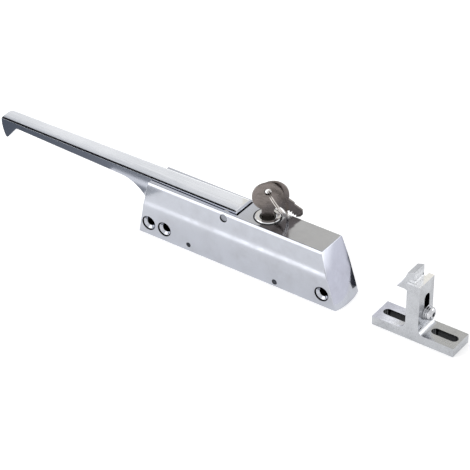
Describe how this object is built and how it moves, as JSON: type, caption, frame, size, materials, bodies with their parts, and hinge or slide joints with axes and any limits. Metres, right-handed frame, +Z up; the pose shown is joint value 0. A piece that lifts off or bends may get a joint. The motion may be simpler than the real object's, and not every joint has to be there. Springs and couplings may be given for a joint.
{
  "type": "refrigerator door latch",
  "caption": "Edge-mount latch with a long pull handle, sprung bolt, key lock with keys on a split ring, and a separate slotted strike with a clamped hook that adjusts in height.",
  "frame": {"origin": "midway between the two outer door screws, on the case face that lies against the door", "axes": "+X along the case from the pull handle's free end towards the blunt end and the strike, +Y out of the face that lies against the door, +Z up, from the case's open side to its top"},
  "size_m": [0.4222, 0.0356, 0.0769],
  "materials": {
    "polished_zinc": "polished chrome over a zinc die casting",
    "polished_handle": "polished chrome over a zinc die casting",
    "ground_pin": "ground steel",
    "black_rubber": "moulded",
    "white_nylon": "moulded",
    "plated_steel": "zinc plated",
    "spring_steel": "drawn wire",
    "lock_chrome": "polished chrome",
    "plain_brass": "turned",
    "key_nickel": "dark nickel plate",
    "ring_wire": "bright nickel plate",
    "satin_zinc": "satin plated die casting",
    "bright_screw": "bright plate"
  },
  "bodies": {
    "case": {"case_shell": "polished_zinc", "handle_pivot_pin": "ground_pin", "front_guide_pin": "ground_pin", "rear_guide_pin": "ground_pin", "rest_bumper": "black_rubber", "lock_barrel": "lock_chrome", "lock_nut": "plain_brass", "bolt_spring": "spring_steel"},
    "handle": {"handle_lever": "polished_handle", "pivot_bushes": "white_nylon", "toe_pin": "ground_pin", "toe_roller": "plated_steel"},
    "bolt": {"bolt_bar": "plated_steel", "bolt_nose": "plated_steel", "nose_rivets": "ground_pin"},
    "lock_core": {"lock_plug": "lock_chrome", "lock_cam": "plated_steel", "cam_screw": "plated_steel"},
    "inserted_key": {"key": "key_nickel"},
    "key_ring": {"split_ring": "ring_wire"},
    "hanging_key": {"spare_key": "key_nickel"},
    "strike": {"strike_bracket": "satin_zinc"},
    "hook_slide": {"strike_hook": "satin_zinc", "flat_washer": "bright_screw", "lock_washer": "bright_screw", "clamp_screw": "bright_screw"}
  },
  "joints": [
    {"name": "handle_pull", "type": "hinge", "parent": "case", "child": "handle", "pos_m": [-0.0099, -0.01565, 0.0315], "axis": [0, 1, 0], "range_deg": [0, 22]},
    {"name": "bolt_slide", "type": "slide", "parent": "case", "child": "bolt", "axis": [-1, 0, 0], "range_m": [0, 0.00922], "stiffness_N_per_m": 1500, "springref_m": -0.008, "deforming": ["bolt_spring"]},
    {"name": "lock_turn", "type": "hinge", "parent": "case", "child": "lock_core", "pos_m": [0.0198, -0.01425, 0.0369], "axis": [0, 0, 1], "range_deg": [0, 90]},
    {"name": "key_draw", "type": "slide", "parent": "lock_core", "child": "inserted_key", "axis": [0, 0, 1], "range_m": [0, 0.013]},
    {"name": "ring_swing", "type": "hinge", "parent": "inserted_key", "child": "key_ring", "pos_m": [0.0198, -0.01425, 0.059], "axis": [0.5779, -0.8161, 0], "range_deg": [0, 60]},
    {"name": "spare_swing", "type": "hinge", "parent": "key_ring", "child": "hanging_key", "pos_m": [0.02036, -0.01385, 0.05682], "axis": [0.5779, -0.8161, 0], "range_deg": [0, 60]},
    {"name": "strike_lift", "type": "slide", "parent": "case", "child": "strike", "axis": [0, 0, 1], "range_m": [0, 0.06]},
    {"name": "hook_adjust", "type": "slide", "parent": "strike", "child": "hook_slide", "axis": [0, 0, 1], "range_m": [0, 0.013]}
  ],
  "couplings": [
    {"joint": "bolt_slide", "follows": "handle_pull", "m_per_rad": 0.024}
  ]
}
